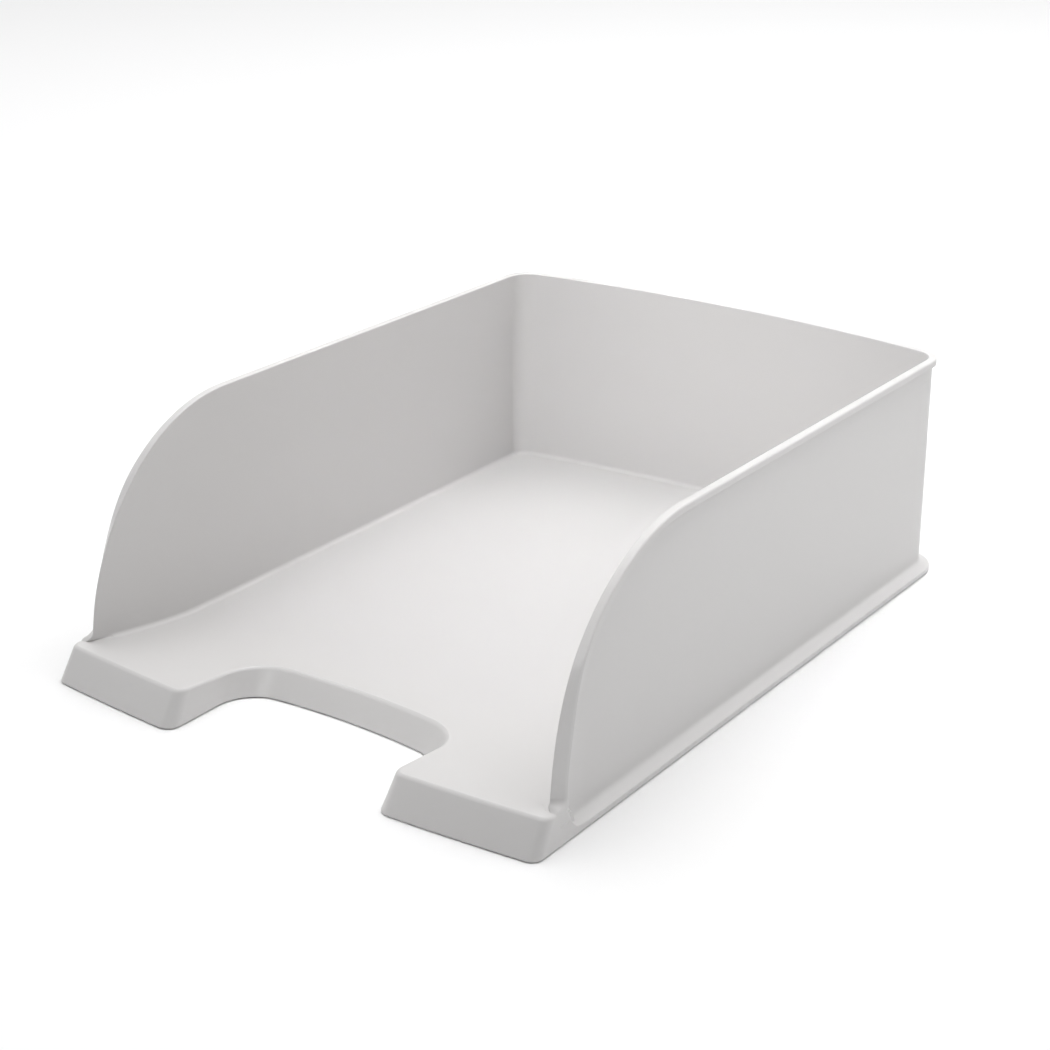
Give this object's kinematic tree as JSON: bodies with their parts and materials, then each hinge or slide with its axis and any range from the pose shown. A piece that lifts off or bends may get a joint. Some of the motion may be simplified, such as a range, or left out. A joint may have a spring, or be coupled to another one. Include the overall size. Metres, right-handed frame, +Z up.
{
  "type": "letter tray",
  "caption": "Deep stacking desk tray for letter-size paper, with a bowed front and back, side walls that sweep down to a low front apron, and a thumb notch in the floor.",
  "frame": {"origin": "on the desk surface, at the middle of the tray's overall width and length", "axes": "+Z up from the desk; the open front with the thumb notch faces -Y; +X to the right of someone looking along +Y"},
  "size_m": [0.25, 0.3491, 0.106],
  "materials": {
    "tray_plastic": "injection-moulded polystyrene, light warm grey, satin with a soft sheen",
    "pad_rubber": "soft matt anti-slip elastomer, mid grey"
  },
  "bodies": {
    "root": {"tray_body": "tray_plastic", "pad_front_left": "pad_rubber", "pad_front_right": "pad_rubber", "pad_rear_left": "pad_rubber", "pad_rear_right": "pad_rubber"}
  },
  "joints": []
}
